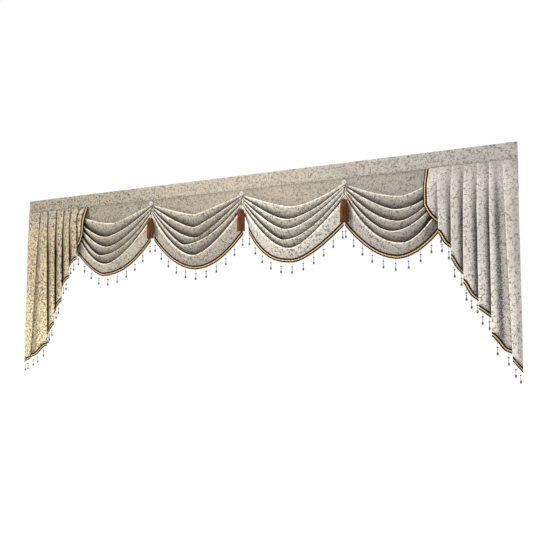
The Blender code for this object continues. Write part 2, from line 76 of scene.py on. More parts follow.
def new_material(name, **values):
    """A material with these values on its shader, its node tree and that shader."""
    made = bpy.data.materials.new(name)
    made.use_nodes = True
    shader = made.node_tree.nodes["Principled BSDF"]
    feed(shader, {key.replace("_", " "): value for key, value in values.items()})
    return made, made.node_tree, shader


def blend(tree, share, first, second):
    """A mix of two colours, each a socket or a linear colour."""
    return node(tree, "Mix", {0: share, 6: first, 7: second}, 2, data_type="RGBA")


def calc(tree, operation, *values):
    return node(tree, "Math", dict(enumerate(values)), operation=operation)


def ramp(tree, value, low, high, to_low=0, to_high=1):
    """A value carried smoothly from one range to another."""
    return node(tree, "MapRange", {"Value": value, "From Min": low, "From Max": high,
                                   "To Min": to_low, "To Max": to_high},
                interpolation_type="SMOOTHSTEP")


def parts_of(tree, vector):
    """The X, Y and Z sockets of a vector."""
    return node(tree, "SeparateXYZ", {"Vector": vector}).node.outputs


def add_to_scene(name, data):
    made = bpy.data.objects.new(name, data)
    bpy.context.scene.collection.objects.link(made)
    return made


def look_at(thing, target):
    thing.rotation_euler = (Vector(target) - thing.location).to_track_quat("-Z", "Y").to_euler()


camera = add_to_scene("camera", bpy.data.cameras.new("camera"))
bpy.context.scene.camera = camera
camera.data.lens = 50
camera.data.sensor_width = 36
camera.location = CAMERA_PLACE
camera.rotation_euler = (math.radians(90 + CAMERA_TILT), 0, math.radians(CAMERA_TURN))

floor_mesh = bpy.data.meshes.new("floor")
floor_mesh.from_pydata([(x * FLOOR_REACH, y * FLOOR_REACH, FLOOR_LEVEL)
                        for x, y in ((-1, -1), (1, -1), (1, 1), (-1, 1))], [], [(0, 1, 2, 3)])
floor = add_to_scene("floor", floor_mesh)
floor_finish, tree, shader = new_material("floor_pale", Roughness=0.7)
mottle = node(tree, "TexNoise", {"Scale": 0.6, "Detail": 3})
feed(shader, {"Base Color": blend(tree, mottle, (0.86, 0.86, 0.85), (0.9, 0.9, 0.89))})
floor_mesh.materials.append(floor_finish)

key = add_to_scene("key_light", bpy.data.lights.new("key_light", "SUN"))
key.data.energy = 4
key.data.angle = math.radians(9)
key.data.color = (1, 0.985, 0.95)
key.location = (-2.1, -2.3, 5)
look_at(key, (0, 0, 0))
for name, (place, width, power, colour) in LAMPS.items():
    lamp = add_to_scene(name, bpy.data.lights.new(name, "AREA"))
    lamp.data.size = width
    lamp.data.energy = power
    lamp.data.color = colour
    lamp.location = place
    look_at(lamp, LIT_MIDDLE)

world = bpy.data.worlds.new("studio")
bpy.context.scene.world = world
world.use_nodes = True
tree = world.node_tree
# Bright behind the valance, and dimmer in front of it and overhead.
sky = parts_of(tree, node(tree, "TexCoord", output="Generated"))
feed(tree.nodes["Background"], {
    "Color": (1, 1, 1),
    "Strength": calc(tree, "MULTIPLY", ramp(tree, sky["Y"], -0.35, 0.15, 0.26, 1),
                     ramp(tree, sky["Z"], 0.4, 0.85, 1, 0.25))})
bpy.context.scene.view_settings.view_transform = "Standard"


# -------------------- heading band
# A flat band of the beige jacquard over a stiffener, turned in along its edges.  The panel and
# the pleats are sewn in under it by one row of topstitching, and it hangs by its top edge.
WIDTH = 3.000
HEADING_DROP, HEADING_THICK = 0.078, 0.003
GAP = 0.0003  # between the heading and the wall, and to what is sewn under it
HEADING_SWELL = 0.0004
HEADING_SHADE, HEADING_SHADE_REACH = 0.16, 0.003  # painted shade at its lower edge
STITCH_DROP = 0.0735  # of the topstitching
STITCH_PITCH, STITCH_LENGTH, STITCH_RADIUS = 0.006, 0.0042, 0.0004
# Along a stitch: share of its length, and how far it is raised.
STITCH_ARCH = ((-0.5, -0.0004), (-0.3, 0.0005), (0, 0.0007), (0.3, 0.0005), (0.5, -0.0004))
PUCKER, PUCKER_PITCH, PUCKER_REACH = 0.00022, 0.019, 0.006  # of the cloth at the stitches
# The jacquard's ground against its given tone, where it is darkest and palest, the painted
# highlight on its crests against the cloth, and its deepest painted shade against the ground.
CLOUD_TONES, CREST_PAINTED_HIGHLIGHT, DEEP_PAINTED_SHADE = (0.9, 1.07), 1.68, (0.055, 0.047, 0.04)


def stretched(tree, where, scale):
    return node(tree, "Mapping", {"Vector": where, "Scale": scale})


def noise(tree, where, scale, detail):
    return node(tree, "TexNoise", {"Vector": where, "Scale": scale, "Detail": detail})


def bump(tree, height, strength, distance):
    return node(tree, "Bump", {"Height": height, "Strength": strength, "Distance": distance})


def jacquard(name, ground, figure, *painted_light_drifts, speckle=0.25, bold=1):
    """Beige damask-weave cloth with a small broken worm figure in darker yarn.

    The figure is laid out on the flat cloth, in metres, so it runs into the folds.  Painted
    shade deepens the tone inside them and a painted highlight makes it paler on their crests, as
    the cloth's painted light attribute says.  Each painted light drift is an axis of the flat
    cloth, two places on it between which the painted light changes the tones, and the new ground
    and figure.
    speckle is how far the figure breaks up the painted shade, and bold how broad its lines are.
    """
    made, tree, shader = new_material(name, Sheen_Weight=0.05, Sheen_Roughness=0.45,
                                      Specular_IOR_Level=0.1)
    flat = node(tree, "UVMap", uv_map="cloth")
    # The figure: bent lines between cells, broken off, and scattered dots.
    bend = node(tree, "TexNoise", {"Vector": flat, "Scale": 70, "Detail": 1}, "Color")
    bend = node(tree, "VectorMath", {0: bend, "Scale": 0.026}, operation="SCALE")
    curly = node(tree, "VectorMath", {0: flat, 1: bend}, operation="ADD")
    seams = node(tree, "TexVoronoi", {"Vector": curly, "Scale": 56}, "Distance",
                 feature="DISTANCE_TO_EDGE")
    lines = calc(tree, "MULTIPLY", ramp(tree, seams, 0.04 * bold, 0.08 * bold, 1, 0),
                 ramp(tree, noise(tree, flat, 58, 1), 0.43, 0.5))
    flecks = node(tree, "TexVoronoi", {"Vector": flat, "Scale": 120}, "Distance")
    dots = calc(tree, "MULTIPLY", ramp(tree, flecks, 0.11 * bold, 0.21 * bold, 1, 0),
                ramp(tree, noise(tree, flat, 26, 2), 0.46, 0.56))
    drawn = calc(tree, "MAXIMUM", lines, dots)
    # The ground: streaked along the warp, and cloudy.
    streaks = noise(tree, stretched(tree, flat, (700, 30, 1)), 1, 1)
    clouds = calc(tree, "MULTIPLY", noise(tree, flat, 7, 3), 0.5)
    uneven = ramp(tree, calc(tree, "MULTIPLY_ADD", streaks, 0.5, clouds), 0.35, 0.65)

    def clouded(tone):
        return blend(tree, uneven, *([part * factor for part in tone] for factor in CLOUD_TONES))

    base = clouded(ground)
    # Painted light drifts the ground and the figure to other tones across the cloth.
    for way, near, far, far_ground, far_figure in painted_light_drifts:
        side = ramp(tree, parts_of(tree, flat)[way], near, far)
        figure = blend(tree, side, figure, far_figure)
        base = blend(tree, side, base, clouded(far_ground))
    cloth = blend(tree, calc(tree, "MULTIPLY", drawn, 0.92), base, figure)
    # A painted highlight on the crests and painted shade in the folds, from the painted light
    # attribute.
    depth = node(tree, "Attribute", output="Fac", attribute_name="painted_light")
    pale = node(tree, "VectorMath", {0: cloth, "Scale": CREST_PAINTED_HIGHLIGHT}, operation="SCALE")
    cloth = blend(tree, calc(tree, "MULTIPLY", depth, -1), cloth, pale)
    # The wrong side of a fold stands out at the back, so it has no painted shade there.
    faces = parts_of(tree, node(tree, "NewGeometry", output="Normal"))["Y"]
    depth = calc(tree, "MULTIPLY", depth, ramp(tree, faces, 0, 0.35, 1, 0))
    # The painted shade is mottled, except where it is deepest.
    broken = ramp(tree, noise(tree, flat, 190, 1), 0.42, 0.58, 1, 1 - speckle)
    painted_light = calc(tree, "MULTIPLY", depth,
                  calc(tree, "MAXIMUM", broken, calc(tree, "POWER", depth, 6)))
    # The darkest painted shade, deep in the folds.
    painted_shade_tone = [part * factor for part, factor in zip(ground, DEEP_PAINTED_SHADE)]
    threads = {"Vector": flat, "Scale": 165, "Distortion": 1.2, "Detail": 1}
    weave = [node(tree, "TexWave", threads, "Fac", bands_direction=way) for way in "XY"]
    height = calc(tree, "MULTIPLY_ADD", drawn, 1.3, calc(tree, "ADD", *weave))
    feed(shader, {"Base Color": blend(tree, painted_light, cloth, painted_shade_tone),
                  "Roughness": ramp(tree, drawn, 0, 1, 0.8, 0.62),
                  "Normal": bump(tree, height, 0.35, 0.0006)})
    return made


def thread(name, dark, light, roughness=0.6, sheen=0.3, streaks=(120, 120, 120)):
    """Spun yarn: its ply shows as fine slanting light and dark, and its tone is uneven."""
    made, tree, shader = new_material(name, Roughness=roughness, Sheen_Weight=sheen,
                                      Specular_IOR_Level=0.25)
    where = node(tree, "TexCoord", output="Object")
    ply = node(tree, "TexWave", {"Vector": where, "Scale": 230, "Distortion": 2}, "Fac",
               bands_direction="DIAGONAL")
    uneven = ramp(tree, noise(tree, stretched(tree, where, streaks), 1, 3), 0.38, 0.62)
    share = calc(tree, "MULTIPLY_ADD", ply, 0.35, calc(tree, "MULTIPLY", uneven, 0.65))
    feed(shader, {"Base Color": blend(tree, share, dark, light),
                  "Normal": bump(tree, share, 0.4, 0.0004)})
    return made


def together(*parts):
    """Points, or rows of values, from their parts, each spread over the whole grid."""
    return np.stack(np.broadcast_arrays(*parts), axis=-1)


def round_turn(count, first=0):
    """Evenly spaced angles round a full turn."""
    return math.tau * (np.arange(count) + first) / count


def grid_faces(rows, columns, ring=False):
    """Four-sided faces of a grid of points, closed into a ring along its columns or not."""
    index = np.arange(rows * columns).reshape(rows, columns)
    here = index if ring else index[:, :-1]
    beside = np.roll(index, -1, axis=1) if ring else index[:, 1:]
    return np.stack([here[:-1], here[1:], beside[1:], beside[:-1]], axis=-1).reshape(-1, 4)


def closed_faces(rings, sides, turned=0):
    """Faces of a closed round form: its skin and its two caps, one of them turned over."""
    caps = np.arange(rings * sides).reshape(rings, sides)[[0, -1]].tolist()
    caps[turned].reverse()
    return grid_faces(rings, sides, ring=True).tolist() + caps


def new_piece(name, points, faces, finishes, smooth=True):
    """A piece of the object from points and faces, in metres, which rides on the body."""
    mesh = bpy.data.meshes.new(name)
    mesh.from_pydata(np.asarray(points, float).reshape(-1, 3).tolist(), [], faces)
    for finish in finishes:
        mesh.materials.append(finish)
    if smooth:
        mesh.shade_smooth()
    made = add_to_scene(name, mesh)
    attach(made, "root")
    return made


def cloth_sheet(name, grid, flat, finish, thick, painted_light=None):
    """A closed sheet of cloth about a grid of points.

    flat is each point's place on the cut, and the last its painted shade: up to 1 deep inside a
    fold, and below 0 for a painted highlight on a crest.
    """
    made = new_piece(name, grid, grid_faces(*grid.shape[:2]).tolist(), [finish])
    corners = np.zeros(len(made.data.loops), np.int32)
    made.data.loops.foreach_get("vertex_index", corners)
    layer = made.data.uv_layers.new(name="cloth")
    layer.data.foreach_set("uv", np.asarray(flat, np.float32).reshape(-1, 2)[corners].ravel())
    if painted_light is not None:
        made.data.attributes.new("painted_light", "FLOAT", "POINT").data.foreach_set(
            "value", np.broadcast_to(painted_light, grid.shape[:2]).astype(np.float32).ravel())
    shell = made.modifiers.new("thickness", "SOLIDIFY")
    shell.thickness = thick
    shell.offset = 0
    return made


def round_edges(piece, width):
    soft = piece.modifiers.new("soft_edges", "BEVEL")
    soft.width = width
    soft.segments = 3
    soft.limit_method = "ANGLE"
    soft.angle_limit = math.radians(50)


def across_and_down(columns, rows, top, bottom):
    """Places of a grid as wide as the valance: across as a row, and down as a column."""
    return (np.linspace(-WIDTH / 2, WIDTH / 2, columns)[None, :],
            np.linspace(top, bottom, rows)[:, None])


def unevenness(across, down, lengths, seed):
    """A gentle wave field from -1 to 1 over hanging cloth, of about these wave lengths."""
    draw = np.random.default_rng(seed)
    total = np.zeros(np.broadcast(across, down).shape)
    for _ in range(7):
        phase = draw.uniform(0, math.tau, 2)
        wide, tall = lengths * draw.uniform(0.7, 1.5, 2)
        slant = draw.uniform(-0.35, 0.35)
        total += (np.sin(math.tau * (across + slant * down) / wide + phase[0])
                  * np.sin(math.tau * down / tall + phase[1]))
    return total / 4


def tubes(lines, radii, sides, way=(1, 0, 0)):
    """Points and faces of closed round tubes; lines is (tubes, points, 3), and way is a
    direction that no line runs along."""
    lines = np.asarray(lines, float)
    count, steps = lines.shape[:2]
    radii = np.broadcast_to(radii, (count, steps))
    along = np.gradient(lines, axis=1)
    along /= np.linalg.norm(along, axis=2, keepdims=True)
    one = np.cross(along, way)
    one /= np.linalg.norm(one, axis=2, keepdims=True)
    other = np.cross(along, one)
    turn = round_turn(sides)
    ring = (one[:, :, None] * np.cos(turn)[:, None] + other[:, :, None] * np.sin(turn)[:, None])
    points = lines[:, :, None] + ring * radii[:, :, None, None]
    return points.reshape(-1, 3), [[corner + tube * steps * sides for corner in face]
                                   for tube in range(count)
                                   for face in closed_faces(steps, sides, 1)]


# Painted light on the heading: darker at its left end, paler in its middle and cooler to the
# right.
heading_cloth = jacquard("heading_jacquard", (0.378, 0.338, 0.276), (0.07, 0.06, 0.046),
                         ("X", -0.95, -0.05, (0.432, 0.387, 0.326), (0.18, 0.16, 0.13)),
                         ("X", 0.15, 1.2, (0.417, 0.391, 0.363), (0.15, 0.14, 0.13)), bold=1.25)
across, down = across_and_down(301, 15, 0, HEADING_DROP)
puckers = PUCKER * (np.sin(math.tau * across / PUCKER_PITCH)
                    * np.exp(-((down - STITCH_DROP) / PUCKER_REACH) ** 2))
swell = HEADING_SWELL * unevenness(across, down, (0.42, 0.16), 11) + puckers
stand = HEADING_THICK / 2 + GAP + swell
heading = cloth_sheet(
    "heading_band_cloth", together(across, -stand, -down), together(across, -down),
    heading_cloth, HEADING_THICK - HEADING_SWELL,
    HEADING_SHADE * np.exp(-(HEADING_DROP - down) / HEADING_SHADE_REACH))
round_edges(heading, 0.0009)
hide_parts("heading_band")

stitch_yarn = thread("heading_stitch_yarn", (0.3, 0.25, 0.18), (0.52, 0.46, 0.36))
first_stitch = 0.004 - WIDTH / 2
middles = np.arange(first_stitch, -first_stitch, STITCH_PITCH) + STITCH_PITCH / 2
stitch_lines = [[(middle + share * STITCH_LENGTH, -HEADING_THICK - lift, -STITCH_DROP)
                 for share, lift in STITCH_ARCH] for middle in middles]
stitches = new_piece("heading_stitches", *tubes(stitch_lines, STITCH_RADIUS, 5, (0, 0, 1)),
                     [stitch_yarn])


# -------------------- plain panel
# A plain strip of the same cloth behind the swags, sewn to the lower edge of the heading band.
# The swags and the tails are tacked to it, and their pull leaves shallow creases in it.
PANEL_END = 0.215
PANEL_THICK = 0.0016
PANEL_MIDDLE = 0.0015  # stand of the panel's middle layer
PANEL_SWELL = 0.0003
PANEL_CUT = 0.31  # where on its flat cloth the strip is cut
PANEL_SHADE, PANEL_SHADE_REACH = 0.42, 0.007  # painted shade below the heading
GATHERS = (-1.12, -0.52, 0.079, 0.669, 1.2)  # where the swags are gathered, along X
KNOB_DROP = 0.103
CREASE, CREASES_ROUND, CREASE_START, CREASE_REACH = 0.0007, 9, 0.03, 0.16  # at a gather

# Painted light on the panel: darker at its left end, paler in its middle and cooler to the
# right.
panel_cloth = jacquard("panel_jacquard", (0.338, 0.302, 0.252), (0.08, 0.07, 0.055),
                       ("X", -0.4, 0.02, (0.385, 0.341, 0.282), (0.16, 0.14, 0.11)),
                       ("X", 0.2, 1, (0.35, 0.322, 0.294), (0.13, 0.12, 0.11)))
across, down = across_and_down(421, 29, HEADING_DROP + GAP, PANEL_END)
pull = 0
for gather in GATHERS:
    away = (down - KNOB_DROP, across - gather)
    distance = np.hypot(*away)
    pull = pull + (np.sin(CREASES_ROUND * np.arctan2(*away) + gather)
                   * np.exp(-distance / CREASE_REACH) * np.minimum(distance / CREASE_START, 1))
stand = (PANEL_MIDDLE + PANEL_SWELL * unevenness(across, down, (0.3, 0.2), 23)
         + CREASE * np.abs(pull))
panel = cloth_sheet(
    "base_panel_cloth", together(across, -stand, -down), together(across, PANEL_CUT - down),
    panel_cloth, PANEL_THICK, PANEL_SHADE * np.exp(-(down - HEADING_DROP) / PANEL_SHADE_REACH))
round_edges(panel, 0.0005)
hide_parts("base_panel")


# -------------------- swags
# Four swags of the jacquard.  Each is gathered in small folds at both sides and sags between
# them in five rolled folds, which lie one over the other, down to a plain curved hem.
CLOTH = 0.0016
GATHER_CLEAR = 0.0015  # from a gather's line to the swag's side edge
GATHER_STAND = 0.011  # stand of a fold's lip where it is gathered
TUCK_STAND = 0.0042  # stand of the cloth sewn to the panel
LIP_AT = 0.1  # share of the way to the next fold where a lip stands out most
HEM_GATHER_STAND = 0.015  # stand of the hem where it is gathered
HEM_SWELL = 0.003  # of the cloth between the last lip and the hem
HEM_GAP = 0.0006  # between the cloth and its braid
BRAID = 0.018
BRAID_BEHIND = (0.0001, 0.0012)  # of the braid's edges, behind the stand of the hem
STEEPEST_HEM = 1.8  # most that a sloping hem stretches the braid's drop
SWAG_COLUMNS = 133
STEPS_A_ROW = 6  # fine rows between two rows of the folds
SIDE_ROLL, SIDE_STAND = 0.0012, 0.55  # how far a side edge rolls out, and its share of stand
SOFT, DRAG = 0.001, 0.0005  # unevenness of the cloth, and of its pull towards the gathers

# Each fold: drop of its left and right end, stand of its lip and of the hollow behind it.
FOLDS = (
    (0.107, 0.105, 0.032, TUCK_STAND),
    (0.118, 0.117, 0.037, 0.010),
    (0.130, 0.131, 0.040, 0.012),
    (0.143, 0.151, 0.042, 0.013),
    (0.160, 0.180, 0.042, 0.014),
    (0.312, 0.314, 0.031, 0.014),
)
# How each fold sags: place and drop of its lowest point, and how full each side falls to it.
SAGS = (
    ((0.55, 0.193, 1.60, 1.15), (0.46, 0.271, 1.55, 1.60), (0.49, 0.330, 1.65, 1.65),
     (0.42, 0.378, 1.65, 2.00), (0.47, 0.428, 1.95, 1.65), (0.45, 0.497, 1.35, 2.20)),
    ((0.51, 0.189, 1.20, 1.15), (0.51, 0.259, 1.30, 1.20), (0.54, 0.317, 1.70, 1.25),
     (0.41, 0.352, 1.30, 1.90), (0.51, 0.412, 1.70, 1.60), (0.51, 0.488, 1.90, 2.00)),
    ((0.54, 0.197, 1.15, 1.50), (0.49, 0.260, 1.25, 1.65), (0.48, 0.311, 1.30, 1.55),
     (0.46, 0.365, 1.30, 1.75), (0.50, 0.408, 1.60, 1.40), (0.51, 0.480, 2.60, 1.50)),
    ((0.57, 0.196, 1.50, 1.20), (0.53, 0.259, 1.30, 2.10), (0.55, 0.315, 1.70, 1.65),
     (0.49, 0.361, 1.65, 1.95), (0.57, 0.418, 2.10, 1.75), (0.53, 0.491, 1.85, 1.90)),
)
BENDS = (0.08, 0.05, 0.17, 0.13)  # how round each swag's folds are at their lowest points
HEM_BENDS = (0.16, 0, 0, 0)  # and how round its hem is there
# How far each swag's hem lies in from the gathers, at its left and its right end.
HEM_INSETS = ((0, 0), (0.022, -0.014), (0.044, 0), (0.003, 0))

# Painted light down a fold, at rows from 0 to 4: a painted highlight on the lip, then
# painted shade ever deeper to the hollow behind the next one.  The first are for the open
# swag, and the others for where it is gathered.
OPEN_PAINTED_LIGHT = ((0, 0.6, 0.9, 1.5, 1.9, 2.6, 3.1, 3.4, 4),
              (1, 0.4, -1, -1, 0, 0.2, 0.66, 1, 1))
GATHERED_PAINTED_LIGHT = ((0, 0.5, 0.8, 2.2, 2.6, 3, 4), (1, 0.6, -1, -1, -0.2, 1, 1))
HEM_PAINTED_SHADE = (0.04, 0.24, 0.03, 0.2)  # painted shade of each swag, below its last lip
# Each swag's ground: one cloth, painted lighter or darker, warmer or cooler, as painted light.
SWAG_GROUNDS_WITH_PAINTED_LIGHT = ((0.455, 0.415, 0.35), (0.47, 0.425, 0.375), (0.575, 0.555, 0.495),
                (0.48, 0.45, 0.405))
LAST_LIP_ROW = 18  # where the last fold's lip is, before the rows are made finer
PRESSED_FLAT = 0.013  # beside a gather, where the folds lose their painted shade
TAIL_EDGES = (-1.037, 1.095)  # along X; under the tails, painted shade darkens the outer swags there
TAIL_SHADE, TAIL_SHADE_REACH = 0.55, 0.022


def between(start, end, share):
    return start + (end - start) * share


def curve(t, start, end, leaves, arrives):
    """A smooth curve from start, at t = 0, to end, at t = 1, with these slopes there."""
    return (start * (1 + 2 * t) * (1 - t) ** 2 + end * t * t * (3 - 2 * t)
            + leaves * t * (1 - t) ** 2 - arrives * t * t * (1 - t))


def fold_drop(fold, sag, places, bend):
    """Drop of a fold's lip at each place across the swag, 0 at its left and 1 at its right.

    bend is how wide the curve round its lowest point is, as a share of each side.
    """
    left_end, right_end = fold[:2]
    low_at, low, fall_left, fall_right = sag
    left_share, right_share = (
        ((np.clip(away, 0, 1) ** 2 + bend ** 2) ** (fall / 2) - bend ** fall)
        / ((1 + bend ** 2) ** (fall / 2) - bend ** fall)
        for away, fall in (((low_at - places) / low_at, fall_left),
                           ((places - low_at) / (1 - low_at), fall_right)))
    return (between(left_end, right_end, places)
            + (low - between(left_end, right_end, low_at)) * (1 - left_share - right_share))


def swag_rows(index, places):
    """Rows of points down the swag, in and out of its folds, then the braid's two edges."""
    left = GATHERS[index] + GATHER_CLEAR
    right = GATHERS[index + 1] - GATHER_CLEAR
    fullness = np.sin(math.pi * np.clip(places, 0, 1)) ** 0.8
    bends = [BENDS[index]] * 5 + [HEM_BENDS[index]]
    drops = [fold_drop(*each, places, bend) for *each, bend in zip(FOLDS, SAGS[index], bends)]
    lips = [between(GATHER_STAND, fold[2], fullness) for fold in FOLDS]
    hollows = [between(TUCK_STAND, fold[3], fullness) for fold in FOLDS]

    def across(share):
        """Places across the swag, this share of the way in to the ends of its hem."""
        start, end = left + HEM_INSETS[index][0] * share, right - HEM_INSETS[index][1] * share
        return between(start, end, places)

    rows = []
    for number in range(5):
        lip, hollow = lips[number], hollows[number]
        # The fold's hollow, the top of its roll, its lip and its front: stand and share of
        # the way down to the next fold.
        roll = [(hollow, 0.15), (between(hollow, lip, 0.74), 0), (lip, LIP_AT)]
        if number < 4:
            roll.append((between(lip, hollows[number + 1], 0.46), 0.6))
        rows += [(across(0), -stand, -between(drops[number], drops[number + 1], share))
                 for stand, share in roll]
    hem = drops[-1]
    hem_stand = between(HEM_GATHER_STAND, FOLDS[-1][2], fullness)
    stretch = np.minimum(np.sqrt(1 + np.gradient(hem, across(1)) ** 2), STEEPEST_HEM)
    cloth_end = hem - (BRAID + HEM_GAP) * stretch
    for share in (0.33, 0.66, 1):
        swell = HEM_SWELL * math.sin(math.pi * share) * fullness
        rows.append((across(share), -between(lips[4], hem_stand, share) - swell,
                     -between(between(drops[-2], hem, LIP_AT), cloth_end, share)))
    for behind, drop in zip(BRAID_BEHIND, (hem - BRAID * stretch, hem)):
        rows.append((across(1), behind - hem_stand, -drop))
    return np.array(rows).transpose(0, 2, 1)


def smooth_through(points, steps):
    """A grid with `steps` times as many rows, on smooth curves that never swing past a row."""
    slopes = np.diff(points, axis=0)
    product = slopes[:-1] * slopes[1:]
    total = np.where(product > 0, slopes[:-1] + slopes[1:], 1)
    inner = np.where(product > 0, 2 * product / total, 0)
    tangents = np.concatenate([slopes[:1], inner, slopes[-1:]])
    spans = zip(points, points[1:], tangents, tangents[1:])
    return np.array([curve(step / steps, *span) for span in spans for step in range(steps)]
                    + [points[-1]])


def lengths_along(points, axis=0):
    """Distance of every point along its line, or along its row or column of a grid."""
    steps = np.linalg.norm(np.diff(points, axis=axis), axis=-1)
    return np.insert(np.cumsum(steps, axis=axis), 0, 0, axis=axis)


even = np.linspace(0, 1, SWAG_COLUMNS)
swag_places = 0.6 * even + 0.2 * (1 - np.cos(math.pi * even))
middle = np.sin(math.pi * swag_places) ** 0.7
near_gather = np.clip(1.35 - 1.35 * np.pad(middle, 1), 0, 1)
swags = []
for index, ground in enumerate(SWAG_GROUNDS_WITH_PAINTED_LIGHT):
    swag_cloth = jacquard(f"swag_jacquard_{index + 1}", ground, (0.12, 0.104, 0.085))
    grid = smooth_through(swag_rows(index, swag_places)[:-2], STEPS_A_ROW)
    across, level = grid[:, :, 0], grid[:, :, 2]
    soft = unevenness(across, level, (0.15, 0.11), 40 + index)
    drag = unevenness(across * 0.4, level + 0.2 * across, (0.09, 0.026), 60 + index)
    fades = np.linspace(0, 1, len(grid))[:, None]
    fades = np.minimum(1, 12 * fades * (1 - fades))
    grid[:, :, 1] -= (SOFT * soft + DRAG * drag) * middle * fades
    # The side edges roll in to the seam at the gather.
    edges = grid[:, [0, -1]]
    edges[:, :, 0] += (-SIDE_ROLL, SIDE_ROLL)
    edges[:, :, 1] = between(-TUCK_STAND, edges[:, :, 1], SIDE_STAND)
    grid = np.concatenate([edges[:, :1], grid, edges[:, 1:]], axis=1)
    across = grid[:, :, 0]

    # Painted light: a highlight on each lip, and shade deepening into the folds and along the
    # hem.
    row = np.arange(len(grid))[:, None] / STEPS_A_ROW
    open_painted_light, gathered_painted_light = (np.interp(row % 4, *painted_tones)
                                for painted_tones in (OPEN_PAINTED_LIGHT, GATHERED_PAINTED_LIGHT))
    painted_light = np.where(row > LAST_LIP_ROW, HEM_PAINTED_SHADE[index],
                      between(open_painted_light, gathered_painted_light, near_gather))
    # Pressed flat at the gathers, the folds have no painted shade there.
    beside = np.minimum(across - GATHERS[index], GATHERS[index + 1] - across)
    painted_light *= np.where(painted_light > 0, 1 - np.exp(-(beside / PRESSED_FLAT) ** 2), 1)
    # The tails' inner edges lie close over the outer swags, and painted shade darkens them
    # there.
    beyond = np.minimum(across - TAIL_EDGES[0], TAIL_EDGES[1] - across)
    painted_light += (TAIL_SHADE * np.exp(-np.clip(beyond, 0, 1) / TAIL_SHADE_REACH)
               * (painted_light > -0.5))
    along = lengths_along(grid, 1)
    flat = together(along - along[:, [along.shape[1] // 2]] + 3.1 * index,
                    -lengths_along(grid))
    swag = cloth_sheet(f"swag_{index + 1}_cloth", grid, flat, swag_cloth, CLOTH, painted_light)
    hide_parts(f"swag_{index + 1}")
    swags.append(swag)


# -------------------- swag trimming
# Along each hem runs a gold braid 18 mm wide: two dark corded edges and a light twisted cord
# between gold ribs, sewn on flat.  Eleven bead strands of glass hang from its lower edge.
BRAID_THICK = 0.0012
BRAID_STEP = 0.0023  # between the braid's cross ribs
# Place across the braid, from the cloth to its free edge, and how far it is raised.
BRAID_RELIEF = ((0.00, 0.0000), (0.03, 0.0007), (0.15, 0.0012), (0.27, 0.0008), (0.32, 0.0001),
                (0.36, 0.0005), (0.41, 0.0001), (0.45, 0.0008), (0.55, 0.0014), (0.65, 0.0008),
                (0.69, 0.0001), (0.74, 0.0005), (0.78, 0.0001), (0.82, 0.0008), (0.90, 0.0012),
                (0.97, 0.0007), (1.00, 0.0000))
# The twisted cord: its middle and its width across the braid, the length of a turn, how far
# it slants along the braid, and how far its plies are raised.
CORD_PLACE, CORD_WIDTH, CORD_TWIST, CORD_SLANT, CORD_RAISED = 0.55, 0.1, 0.0085, 0.9, 0.00035
STRANDS_A_SWAG = 11
STRAND_END = 0.008  # from the end of the braid to its first strand
SEWN_OVER = (0, -0.0011, 0.0012)  # shift of a swag's braid, over the end of the cloth
SWAG_AREAS = (0.258, 0.258, 0.242, 0.228)

braid_finish, tree, shader = new_material("braid_gold_and_brown", Roughness=0.75,
                                          Sheen_Weight=0, Specular_IOR_Level=0.08)
flat = node(tree, "UVMap", uv_map="cloth")
parts = parts_of(tree, flat)
from_middle = calc(tree, "ABSOLUTE", calc(tree, "SUBTRACT", parts["Y"], CORD_PLACE * BRAID))
ribs = node(tree, "TexWave", {"Vector": flat, "Scale": 130, "Distortion": 0.6}, "Fac",
            bands_direction="X")
twist = calc(tree, "MULTIPLY_ADD", parts["Y"], CORD_SLANT, parts["X"])
twist = calc(tree, "FRACT", calc(tree, "DIVIDE", twist, CORD_TWIST))
ply = ramp(tree, calc(tree, "ABSOLUTE", calc(tree, "SUBTRACT", twist, 0.5)), 0.1, 0.32)
gold = blend(tree, ribs, (0.17, 0.075, 0.016), (0.35, 0.18, 0.048))
cord = blend(tree, ply, (0.24, 0.13, 0.042), (0.74, 0.6, 0.36))
brown = blend(tree, ribs, (0.007, 0.003, 0.0012), (0.028, 0.012, 0.0045))
inner = blend(tree, ramp(tree, from_middle, 0.0018, 0.0023), cord, gold)
feed(shader, {
    "Base Color": blend(tree, ramp(tree, from_middle, 0.0027, 0.0032), inner, brown),
    "Normal": bump(tree, calc(tree, "ADD", ribs, ply), 0.5, 0.0005)})


def points_at(line, where, measured):
    """Points of a line at these values of what is measured along it."""
    return np.stack([np.interp(where, measured, line[:, axis]) for axis in range(3)], axis=-1)


def braid_piece(name, upper, lower):
    """A braid between two lines of points, with its cords raised and its middle cord twisted."""
    lengths = lengths_along((upper + lower) / 2)
    along = np.linspace(0, lengths[-1], int(lengths[-1] / BRAID_STEP) + 1)
    upper, lower = (points_at(line, along, lengths) for line in (upper, lower))
    rows, heights = np.array(BRAID_RELIEF).T[:, :, None]
    grid = upper + (lower - upper) * rows[:, None]
    normals = np.cross(np.gradient(grid, axis=0), np.gradient(grid, axis=1))
    normals /= np.linalg.norm(normals, axis=2, keepdims=True) * -np.sign(normals[..., 1].mean())
    raised = heights + (CORD_RAISED * np.exp(-((rows - CORD_PLACE) / CORD_WIDTH) ** 2)
                        * np.sin(math.tau * (along + CORD_SLANT * BRAID * rows) / CORD_TWIST))
    made = cloth_sheet(name, grid + normals * raised[:, :, None], together(along, BRAID * rows),
                       braid_finish, BRAID_THICK)
    return made


